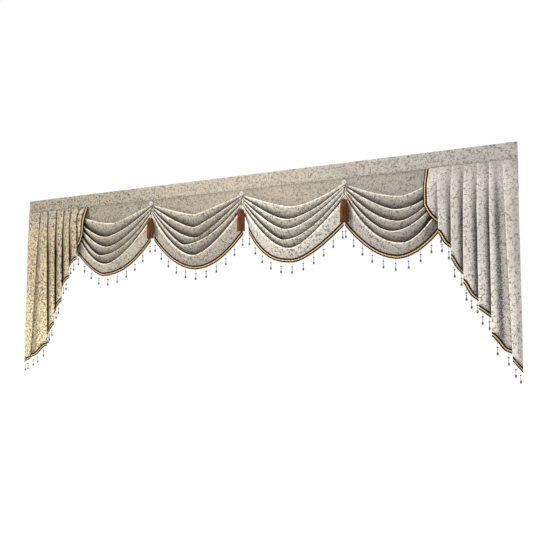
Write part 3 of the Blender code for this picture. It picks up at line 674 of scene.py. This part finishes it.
def glass(name, colour, roughness, transmission):
    """Pressed glass, a little uneven in its tone and its polish."""
    made, tree, shader = new_material(name, Transmission_Weight=transmission, IOR=1.5)
    uneven = noise(tree, node(tree, "TexCoord", output="Object"), 260, 2)
    feed(shader, {
        "Base Color": blend(tree, uneven, [0.75 * part for part in colour],
                            [min(1, 1.2 * part) for part in colour]),
        "Roughness": ramp(tree, uneven, 0.3, 0.7, 0.6 * roughness, 1.6 * roughness)})
    return made


CLEAR, DARK, THREAD, SMOKY = range(4)
strand_finishes = [
    glass("bead_clear_glass", (0.27, 0.3, 0.26), 0.08, 0.35),
    glass("bead_grey_green_glass", (0.05, 0.06, 0.048), 0.1, 0.1),
    thread("bead_thread", (0.22, 0.21, 0.18), (0.42, 0.4, 0.35)),
    glass("bead_smoky_glass", (0.13, 0.145, 0.12), 0.07, 0.25),
]


def seed_bead(middle):
    return (CLEAR, 6, [(middle + drop, radius) for drop, radius in (
        (-0.0011, 0.0005), (-0.0006, 0.001), (0.0006, 0.001), (0.0011, 0.0005))])


# Parts of a strand: finish, sides, and the drop and radius at each ring.
STRAND_PARTS = [
    (THREAD, 4, ((-0.004, 0.0004), (0.030, 0.0004), (0.056, 0.0004))),
    *(seed_bead(middle) for middle in np.arange(0.0012, 0.0185, 0.0026)),
    (DARK, 8, ((0.0192, 0.0010), (0.0205, 0.0035), (0.0230, 0.0047), (0.0255, 0.0035),
               (0.0268, 0.0010))),
    seed_bead(0.0282),
    (CLEAR, 8, ((0.0296, 0.0007), (0.0328, 0.0036), (0.0360, 0.0007))),
    (DARK, 8, ((0.0362, 0.0006), (0.0370, 0.0017), (0.0386, 0.0017), (0.0394, 0.0006))),
    (SMOKY, 8, ((0.0396, 0.0007), (0.0425, 0.0019), (0.0465, 0.0040), (0.0500, 0.0053),
                (0.0530, 0.0052), (0.0560, 0.0040), (0.0580, 0.0022), (0.0590, 0.0005))),
    (DARK, 6, ((0.0400, 0.0012), (0.0450, 0.0020), (0.0520, 0.0026), (0.0555, 0.0016),
               (0.0575, 0.0006))),
]


def bead_strands(name, roots):
    """Strands of glass beads that hang from these points."""
    points, faces, finishes = [], [], []
    for number, root in enumerate(roots):
        for finish, sides, rings in STRAND_PARTS:
            turn = round_turn(sides, 0.37 * number)
            drops, radii = np.array(rings).T[:, :, None]
            skin = closed_faces(len(rings), sides)
            faces += [[corner + len(points) for corner in face] for face in skin]
            finishes += [finish] * len(skin)
            rounds = root + together(radii * np.cos(turn), radii * np.sin(turn), -drops)
            points += rounds.reshape(-1, 3).tolist()
    made = new_piece(name, points, faces, strand_finishes, smooth=False)
    made.data.polygons.foreach_set("material_index", finishes)
    return made


for index, (swag, area) in enumerate(zip(swags, SWAG_AREAS)):
    upper, lower = swag_rows(index, swag_places)[-2:]
    lengths = lengths_along(lower)
    roots = points_at(lower, np.linspace(STRAND_END, lengths[-1] - STRAND_END, STRANDS_A_SWAG),
                      lengths)
    braid = braid_piece(f"swag_{index + 1}_braid", upper + SEWN_OVER, lower)
    strands = bead_strands(f"swag_{index + 1}_strands", roots)
    for piece in (braid, strands):
        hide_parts(f"swag_fringe_{index + 1}")


# -------------------- tails
# A pleated tail at each end, cut on a slant.  Its pleats are sewn down flat under the heading,
# one over the other with their folded edges towards the middle, and open as they hang.
HANG = 0.9  # below the seam; "low" is a pleat's place there
SEAM_FRONT, SEAM_EDGE = 0.0135, 0.0045
PLEAT_TURN = 0.0032  # between the two layers at a fold
FOLD_SWELL = 0.003  # how much rounder a fold is once the pleat has opened
TAIL_ROWS = 72
# Each pleat: its place at the seam and HANG below it, cloth folded under it, stand of its edge
# and of the fold behind it, drop of the hem where its face starts and ends, its strands, where
# across its face it falls back, and how much of its hem's drop is a step.
Pleat = namedtuple("Pleat", "top low under stand tuck hem_start hem_end strands kind step")
TAILS = (
    ("left", -1, (
        (1.033, 1.024, 0.000, 0.0385, 0.0000, 0.225, 0.294, 1, "sharp", 0.00),
        (1.074, 1.036, 0.040, 0.0420, 0.0260, 0.373, 0.405, 2, "sharp", 0.35),
        (1.141, 1.104, 0.036, 0.0360, 0.0180, 0.482, 0.521, 2, "sharp", 0.35),
        (1.199, 1.182, 0.044, 0.0310, 0.0100, 0.617, 0.669, 2, "sharp", 0.35),
        (1.262, 1.240, 0.046, 0.0290, 0.0080, 0.755, 0.812, 3, "sharp", 0.35),
        (1.334, 1.302, 0.034, 0.0240, 0.0080, 0.881, 0.952, 3, "soft", 0.50),
        (1.399, 1.448, 0.018, 0.0190, 0.0080, 0.964, 0.982, 2, "sharp", 0.10),
        (1.500, 1.503, 0.000, 0.0000, 0.0090, 0.000, 0.000, 0, "sharp", 0.00),
    )),
    ("right", 1, (
        (1.097, 1.097, 0.000, 0.0385, 0.0000, 0.246, 0.320, 0, "late", 0.00),
        (1.150, 1.153, 0.021, 0.0440, 0.0290, 0.368, 0.438, 2, "late", 0.45),
        (1.211, 1.203, 0.021, 0.0400, 0.0210, 0.484, 0.560, 2, "late", 0.35),
        (1.266, 1.255, 0.020, 0.0350, 0.0100, 0.596, 0.679, 3, "late", 0.45),
        (1.324, 1.327, 0.018, 0.0320, 0.0080, 0.714, 0.755, 2, "late", 0.10),
        (1.379, 1.381, 0.030, 0.0320, 0.0080, 0.834, 0.909, 2, "early", 0.50),
        (1.438, 1.468, 0.015, 0.0270, 0.0080, 0.941, 0.984, 2, "late", 0.10),
        (1.500, 1.503, 0.000, 0.0000, 0.0090, 0.000, 0.000, 0, "late", 0.00),
    )),
)
FACE_STEPS, UNDER_STEPS, TURN_STEPS = 22, 7, 5
CORNERS = {"left": (0.4, 0.6), "right": (0.9, 0.34)}  # of the hem: how round, how far
HEM_STEP = (0.15, 0.62)  # where across a face its hem steps down, and over what share
OPENS = (0.1, 0.075, 0.14, 0.21, 0.24, 0.24, 0.24, 0.24)  # hang over which each pleat opens
SEAM_OPEN = 0.25  # how far along its opening a pleat is at the seam
LOOSE_FROM, LOOSE_OVER = 0.03, 0.25  # hang over which the cloth turns uneven
FOLD_EDGE_PAINTED_HIGHLIGHT = 0.25  # painted highlight on the pleats' folded edges
# Painted shade inside the pleats: its least and its most, and the hang over which it deepens.
LEAST_DEEP, DEEPEST = 0.03, {"left": 1, "right": 0.96}
DEEPENS_FROM, DEEPENS_OVER = 0.05, 0.2
SEAM_SHADE, SEAM_SHADE_REACH = 0.15, 0.004  # painted shade below the heading
EDGE_STEPS = 23  # of the braid down a tail's inner edge
BRAID_TURN = 0.025  # over which the braid turns to lie across its hem
BRAID_PROUD = (0, -0.001, 0)  # shift of a tail's braid, towards the room
# How a face falls back to the fold behind it: share across the face, from 0 at its folded edge
# to 1 where the next pleat covers it and 2 at the hidden fold, how far it has fallen there, and
# how deep its painted shade is there.
GENTLE_FALL = ((0.00, 0.30, 0.55, 0.68, 0.78, 1.00, 2.00),
               (0.00, 0.01, 0.09, 0.27, 0.46, 0.76, 1.00))
FALLS = {
    "late": (*GENTLE_FALL, (0.00, 0.00, 0.00, 0.60, 1.00, 1.00, 1.00)),
    "sharp": (*GENTLE_FALL, (0.00, 0.10, 0.75, 1.00, 1.00, 1.00, 1.00)),
    "soft": (*GENTLE_FALL, (0.00, 0.00, 0.10, 0.55, 0.64, 0.75, 1.00)),
    "early": ((0.00, 0.24, 0.38, 0.50, 0.64, 0.84, 1.00, 2.00),
              (0.00, 0.02, 0.24, 0.58, 0.71, 0.74, 0.76, 1.00),
              (0.00, 0.00, 0.80, 1.00, 0.45, 0.30, 1.00, 1.00)),
}
# What tail_columns gives for each column across a tail.  FACE is the number of the face that it
# is on, or -1 under it, OPENING the hang over which it opens, and the last its painted shade,
# below 0 for a painted highlight.
TOP, LOW, SEAM_STAND, OPEN_STAND, HEM, FACE, OPENING, PAINTED_TONE = range(8)


def eased(share):
    """A share from 0 to 1, slow at both ends."""
    share = np.clip(share, 0, 1)
    return share * share * (3 - 2 * share)


def fallen(kind, shares):
    """A smooth fall across the face, through the shares above."""
    places, falls = np.array(FALLS[kind][:2])
    slopes = np.gradient(falls, places)
    slopes[0] = slopes[-1] = 0
    index = np.clip(np.searchsorted(places, shares, side="right") - 1, 0, len(falls) - 2)
    width = places[index + 1] - places[index]
    return curve((shares - places[index]) / width, falls[index], falls[index + 1],
                 width * slopes[index], width * slopes[index + 1])


def corner_turn(share, corner):
    """How far the hem has fallen across the first face: fast at first, round its corner."""
    return (1 - np.exp(-share / corner)) / (1 - math.exp(-1 / corner))


def tail_columns(pleats, corner):
    """Columns across a tail, in and out of every fold, with the parts named above."""
    columns = []
    seam_front = SEAM_EDGE
    swell = PLEAT_TURN + FOLD_SWELL
    shares = np.linspace(0, 1, FACE_STEPS)
    under_shares = np.linspace(0, 1, UNDER_STEPS + 1)
    angles = np.linspace(0, math.pi, TURN_STEPS + 1)[1:-1]
    out, back = np.sin(angles), (1 - np.cos(angles)) / 2
    for number, (here, nxt) in enumerate(zip(pleats, pleats[1:])):
        hem_start, hem_end, next_hem = (drop - HEADING_DROP - GAP for drop in (
            here.hem_start, here.hem_end, nxt.hem_start))
        opens, next_opens = OPENS[number:number + 2]
        last = number == len(pleats) - 2

        # The face, from its folded edge to where the next pleat covers it.  Cut on a slant,
        # its hem drops as the face turns back into its fold, and less beside it.
        falls = fallen(here.kind, shares)
        painted_tones = np.interp(shares, FALLS[here.kind][0], FALLS[here.kind][2])
        run = np.hypot(np.gradient((nxt.low - here.low) * shares),
                       np.gradient(1.6 * (here.stand - nxt.tuck) * falls))
        run = ((1 - here.step) * (np.cumsum(run) - run[0]) / (run.sum() - run[0])
               + here.step * eased((shares - HEM_STEP[0]) / HEM_STEP[1]))
        if number == 0:
            run = corner_turn(shares, corner)
        if last:
            falls, painted_tones = falls / falls[-1], 0
        # The last part: painted shade, less a painted highlight beside the folded edge.
        columns.append(together(
            between(here.top, nxt.top, shares), between(here.low, nxt.low, shares),
            between(seam_front, TUCK_STAND, falls), between(here.stand, nxt.tuck, falls),
            between(hem_start, hem_end, run), number, between(opens, next_opens, shares),
            painted_tones - FOLD_EDGE_PAINTED_HIGHLIGHT * np.maximum(0, 1 - 5 * shares)))
        if last:
            break

        # On under the next pleat, to the hidden fold.
        deeper, hidden_hem = under_shares[1:], (hem_end + next_hem) / 2
        falls = fallen(here.kind, 1 + deeper)
        further = nxt.under * deeper
        columns.append(together(
            nxt.top + further, nxt.low + further,
            between(seam_front, TUCK_STAND, falls), between(here.stand, nxt.tuck, falls),
            between(hem_end, hidden_hem, deeper), number, next_opens, 1))
        further = nxt.under + PLEAT_TURN / 2 * out
        columns.append(together(
            nxt.top + further, nxt.low + further, TUCK_STAND + PLEAT_TURN * back,
            nxt.tuck + PLEAT_TURN * back, hidden_hem, -1, next_opens, 1))

        # Back under the next face, and round its folded edge.
        seam_front = SEAM_FRONT
        further = nxt.under * (1 - under_shares)
        # Its painted shade lifts to a painted highlight round the folded edge.
        columns.append(together(
            nxt.top + further, nxt.low + further,
            between(TUCK_STAND + PLEAT_TURN, seam_front - PLEAT_TURN, under_shares),
            between(nxt.tuck + PLEAT_TURN, nxt.stand - swell, eased(under_shares)),
            between(hidden_hem, next_hem, under_shares), -1, next_opens,
            np.interp(under_shares, (0.6, 0.9, 1), (1, 0, -FOLD_EDGE_PAINTED_HIGHLIGHT))))
        columns.append(together(
            nxt.top - PLEAT_TURN / 2 * out, nxt.low - swell / 2 * out,
            seam_front - PLEAT_TURN * (1 - back), nxt.stand - swell * (1 - back),
            next_hem, -1, next_opens, -FOLD_EDGE_PAINTED_HIGHLIGHT))
    return np.concatenate(columns)


def tail_points(side, columns, hangs):
    """Points of a tail's columns, these distances below the seam."""
    seed = 80 + 10 * side
    away = between(columns[..., TOP], columns[..., LOW], hangs / HANG)
    opened = eased(between(SEAM_OPEN, 1, hangs / columns[..., OPENING]))
    opened = (opened - eased(SEAM_OPEN)) / (1 - eased(SEAM_OPEN))
    stand = between(columns[..., SEAM_STAND], columns[..., OPEN_STAND], opened)
    loose = np.clip((hangs - LOOSE_FROM) / LOOSE_OVER, 0, 1)
    stand = stand + loose * 0.0013 * unevenness(away, hangs, (0.1, 0.42), seed)
    away = away + loose * 0.001 * unevenness(away, hangs, (0.17, 0.36), seed + 1)
    return together(side * away, -stand, -(HEADING_DROP + GAP + hangs))


def tail_braid_lines(side, columns, places, round_share):
    """The braid's two edges: down the tail's inner edge, then a point of each for every column,
    round the tail's corner and along its hem."""
    hangs = columns[:, HEM]
    corner = np.flatnonzero(places < round_share * places[FACE_STEPS - 1])
    corner_width = places[corner[-1]]
    pitch, reach = 0.002, 7
    even = np.arange(0, places[-1], pitch)
    window = np.hanning(2 * reach + 1)
    slopes = np.pad(np.gradient(np.interp(even, places, hangs), pitch), reach, "edge")
    slopes = np.interp(places, even, np.convolve(slopes, window / window.sum(), "valid"))
    slopes[corner] = np.gradient(hangs[:FACE_STEPS], places[:FACE_STEPS])[corner]

    def beside(place, hang):
        """Points on the tail, or in the plane of its first face beyond the inner edge."""
        on_tail = np.stack([np.interp(place, places, part) for part in columns.T], axis=-1)
        beyond = between(columns[0], columns[4], place[:, None] / places[4])
        return tail_points(side, np.where(place[:, None] > 0, on_tail, beyond), hang)

    # The way across the braid turns round the corner, and lies across the slanting hem.
    turn = eased(places / corner_width)
    across = np.minimum(np.clip((places - corner_width) / BRAID_TURN, 0, 1),
                        (places[-1] - places) / BRAID_TURN)
    at_corner = places < corner_width
    along = np.where(at_corner, turn - 1, -slopes * across)
    down = np.where(at_corner, turn, 1)
    # The braid keeps its width, whichever way it is crossed.
    width = (down - slopes * along) / np.hypot(slopes, 1)
    edge = np.arange(EDGE_STEPS) / EDGE_STEPS * hangs[0]
    return [beside(np.append(np.full(EDGE_STEPS, -reach), places + along / width * reach),
                   np.append(edge, hangs + down / width * reach))
            for reach in (HEM_GAP, HEM_GAP + BRAID)]


# The tails are one cloth, painted as lit copies: the left darker and warmer, the right cooler,
# each paler down its length as painted light.
tail_cloth = {
    "left": jacquard("tail_left_jacquard", (0.424, 0.375, 0.298), (0.05, 0.04, 0.025),
                     ("Y", -0.005, -0.14, (0.54, 0.45, 0.306), (0.035, 0.025, 0.012)),
                     ("Y", -0.3, -0.75, (0.73, 0.625, 0.4), (0.05, 0.035, 0.016)),
                     speckle=0.45, bold=1.4),
    "right": jacquard("tail_right_jacquard", (0.44, 0.412, 0.382), (0.17, 0.16, 0.145),
                      ("Y", -0.005, -0.1, (0.525, 0.497, 0.465), (0.19, 0.18, 0.17)),
                      ("Y", -0.3, -0.75, (0.65, 0.61, 0.57), (0.18, 0.17, 0.155)),
                      speckle=0.6),
}
for name, side, rows in TAILS:
    pleats = [Pleat(*row) for row in rows]
    corner, round_share = CORNERS[name]
    columns = tail_columns(pleats, corner)
    hangs, painted_tones = columns[:, HEM], columns[:, PAINTED_TONE]
    places = lengths_along(tail_points(side, columns, np.full(len(columns), HANG / 2)))
    depths = np.linspace(0, 1, TAIL_ROWS)[:, None] ** 1.35 * hangs
    grid = tail_points(side, columns[None], depths)
    flat = together(side * places + 0.4, -depths)
    # Painted shade deepens down inside the pleats, and lies below the seam.
    deepening = np.clip((depths - DEEPENS_FROM) / DEEPENS_OVER, LEAST_DEEP, DEEPEST[name])
    painted_light = (painted_tones * np.where(painted_tones > 0, deepening, 1)
              + SEAM_SHADE * np.exp(-depths / SEAM_SHADE_REACH))
    order = slice(None, None, side)
    tail = cloth_sheet(f"tail_{name}_cloth", grid[:, order], flat[:, order], tail_cloth[name],
                       CLOTH, painted_light[:, order])
    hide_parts(f"tail_{name}")

    upper, lower = tail_braid_lines(side, columns, places, round_share)
    braid = braid_piece(f"tail_{name}_braid", upper + BRAID_PROUD, lower + BRAID_PROUD)
    roots = []
    for number, pleat in enumerate(pleats[:-1]):
        face = np.flatnonzero(columns[:, FACE] == number)[:FACE_STEPS]
        edge = lower[EDGE_STEPS + face]
        aims = np.interp((np.arange(pleat.strands) + 0.5) / pleat.strands,
                         np.linspace(0, 1, FACE_STEPS),
                         tail_points(side, columns[face], hangs[face])[:, 0])
        roots += list(points_at(edge, side * aims, side * edge[:, 0]))
    strands = bead_strands(f"tail_{name}_strands", roots)
    for piece in (braid, strands):
        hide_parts(f"tail_fringe_{name}")


# -------------------- tassels
# At each gather between two swags a pearl flower knob is sewn on, and a dark twisted cord from
# its shank carries a glass bead and a tassel of red-brown yarn, bound at its head.
TASSEL_GATHERS = (1, 2, 3)
KNOB_SHIFT, TASSEL_SHIFT = 0.008, 0.012  # along X, from the gather
KNOB_RADIUS, KNOB_STAND, KNOB_SIDES = 0.0125, 0.027, 72
# The knob's rings from its back to its front: radius as a share, depth in front of its middle,
# and how far its petals are parted there.
KNOB_RINGS = (
    (0.240, 0.0028 - KNOB_STAND, 0.0), (0.240, -0.0065, 0.0), (0.55, -0.0058, 0.4),
    (0.90, -0.0030, 0.9), (1.00, 0.0004, 1.0), (0.97, 0.0024, 1.0), (0.80, 0.0030, 0.9),
    (0.58, 0.0014, 0.7), (0.42, 0.0008, 0.3), (0.36, 0.0030, 0.0), (0.30, 0.0050, 0.0),
    (0.18, 0.0062, 0.0), (0.04, 0.0065, 0.0))
CORD_DROPS = (0.1066, 0.168)
CORD_AT_SHANK = 0.0175  # stand of the cord where it leaves the shank
CORD_SWINGS = (0.118, 0.15)  # drops between which it swings out over the hem
CORD_TURN, CORD_SPREAD, PLY_RADIUS = 0.0075, 0.0011, 0.0012
BEAD_RADIUS, BEAD_SIDES, BEAD_RINGS = 0.0065, 20, 12
BEAD_DROPS = (0.1685, 0.1875)
TASSEL_STAND = 0.037
SKIRT_HALF_WIDTH, SKIRT_HALF_DEPTH, SKIRT_END = 0.0222, 0.016, 0.302
YARN_RADIUS = 0.00068
YARN_LAYERS = ((96, 0.965, 0), (60, 0.7, 0.002))  # yarns, size, how much shorter
# Down a yarn: drop and spread over the tassel's head, through the binding and into the skirt.
HEAD_DROPS = (0.1875, 0.1877, 0.1886, 0.1905, 0.194, 0.1985, 0.202, 0.207)
HEAD_SPREAD = (0.14, 0.34, 0.54, 0.67, 0.73, 0.7, 0.74, 0.86)
SKIRT_TOP, SKIRT_STEPS = 0.214, 9
BINDING_DROP, BINDING_WIDTH, BINDING_TURNS, BINDING_SIZE = 0.1975, 0.0045, 4, 0.71

pearl, tree, shader = new_material("knob_pearl_white", Coat_Weight=0.4, Specular_IOR_Level=0.6)
lustre = noise(tree, node(tree, "TexCoord", output="Object"), 90, 2)
feed(shader, {
    "Base Color": blend(tree, lustre, (0.4, 0.37, 0.34), (0.74, 0.72, 0.69)),
    "Roughness": ramp(tree, lustre, 0.3, 0.7, 0.16, 0.32)})
cream_glass = glass("tassel_bead_cream_glass", (0.7, 0.66, 0.58), 0.1, 0.25)
tassel_yarn = thread("tassel_red_brown_yarn", (0.038, 0.011, 0.004), (0.25, 0.074, 0.02), 0.8,
                     sheen=0, streaks=(210, 210, 13))
cord_yarn = thread("tassel_dark_cord_yarn", (0.012, 0.008, 0.006), (0.06, 0.04, 0.03), 0.7)

# Six cupped petals round a boss, turned about the axis that faces the room.
turn = round_turn(KNOB_SIDES)
petal = np.abs(np.cos(3 * turn)) ** 0.55
radius, depth, parted = np.array(KNOB_RINGS).T[:, :, None]
reach = KNOB_RADIUS * radius * (1 - 0.2 * parted * (1 - petal))
flower = together(reach * np.cos(turn), -depth - 0.0012 * parted * petal * (depth > 0),
                  reach * np.sin(turn))

for number, gather in enumerate(TASSEL_GATHERS, start=1):
    shank_place = GATHERS[gather] + KNOB_SHIFT
    place = GATHERS[gather] + TASSEL_SHIFT
    middle = (place, -TASSEL_STAND, 0)
    knob = new_piece(f"tassel_{number}_knob", flower + (shank_place, -KNOB_STAND, -KNOB_DROP),
                     closed_faces(len(KNOB_RINGS), KNOB_SIDES), [pearl])
    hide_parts(f"tassel_knob_{number}")

    drops = np.linspace(*CORD_DROPS, 60)
    swing = eased((drops - CORD_SWINGS[0]) / (CORD_SWINGS[1] - CORD_SWINGS[0]))
    route = together(between(shank_place, place, swing),
                     -between(CORD_AT_SHANK, TASSEL_STAND, swing), -drops)
    spins = [math.tau * (drops / CORD_TURN + ply / 3) for ply in range(3)]
    plies = [route + CORD_SPREAD * together(np.cos(spin), np.sin(spin), 0) for spin in spins]
    cord_piece = new_piece(f"tassel_{number}_cord", *tubes(plies, PLY_RADIUS, 7), [cord_yarn])
    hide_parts(f"tassel_cord_{number}")

    turn = round_turn(BEAD_SIDES)
    lean = math.pi * np.linspace(0.06, 0.94, BEAD_RINGS)[:, None]
    reach = BEAD_RADIUS * np.sin(lean)
    bead_rings = together(reach * np.cos(turn), reach * np.sin(turn),
                          -between(*BEAD_DROPS, (1 - np.cos(lean)) / 2))
    bead = new_piece(f"tassel_{number}_bead", middle + bead_rings,
                     closed_faces(BEAD_RINGS, BEAD_SIDES), [cream_glass])
    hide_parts(f"tassel_bead_{number}")

    draw = np.random.default_rng(500 + number)
    yarns, thickness = [], []
    for count, size, shorter in YARN_LAYERS:
        for yarn in range(count):
            angle = math.tau * (yarn + draw.uniform(-0.2, 0.2)) / count
            end = SKIRT_END - draw.uniform(0, 0.0035) - shorter
            drops = np.concatenate([HEAD_DROPS, np.linspace(SKIRT_TOP, end, SKIRT_STEPS)])
            spread = 0.93 + 0.07 * np.linspace(0, 1, SKIRT_STEPS) ** 0.5
            spread += draw.uniform(-0.012, 0.012, SKIRT_STEPS)
            sway = angle + np.cumsum(draw.uniform(-0.01, 0.01, len(drops)))
            reach = np.concatenate([HEAD_SPREAD, spread]) * size
            yarns.append(middle + together(SKIRT_HALF_WIDTH * reach * np.cos(sway),
                                           SKIRT_HALF_DEPTH * reach * np.sin(sway), -drops))
            thickness.append(np.full(len(drops), YARN_RADIUS * draw.uniform(0.88, 1.15)))
    points, faces = tubes(yarns, np.array(thickness), 5)
    # The binding round the neck, wound of the same yarn.
    wound = np.linspace(0, math.tau * BINDING_TURNS, 14 * 12)
    half_width, half_depth = (BINDING_SIZE * size + 0.0006
                              for size in (SKIRT_HALF_WIDTH, SKIRT_HALF_DEPTH))
    binding = middle + together(half_width * np.cos(wound), half_depth * np.sin(wound),
                                -(BINDING_DROP + BINDING_WIDTH * wound / wound[-1]))
    more_points, more_faces = tubes([binding], 0.0008, 6, (0, 0, 1))
    faces += [[corner + len(points) for corner in face] for face in more_faces]
    skirt = new_piece(f"tassel_{number}_skirt", np.concatenate([points, more_points]), faces,
                      [tassel_yarn])
    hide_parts(f"tassel_skirt_{number}")
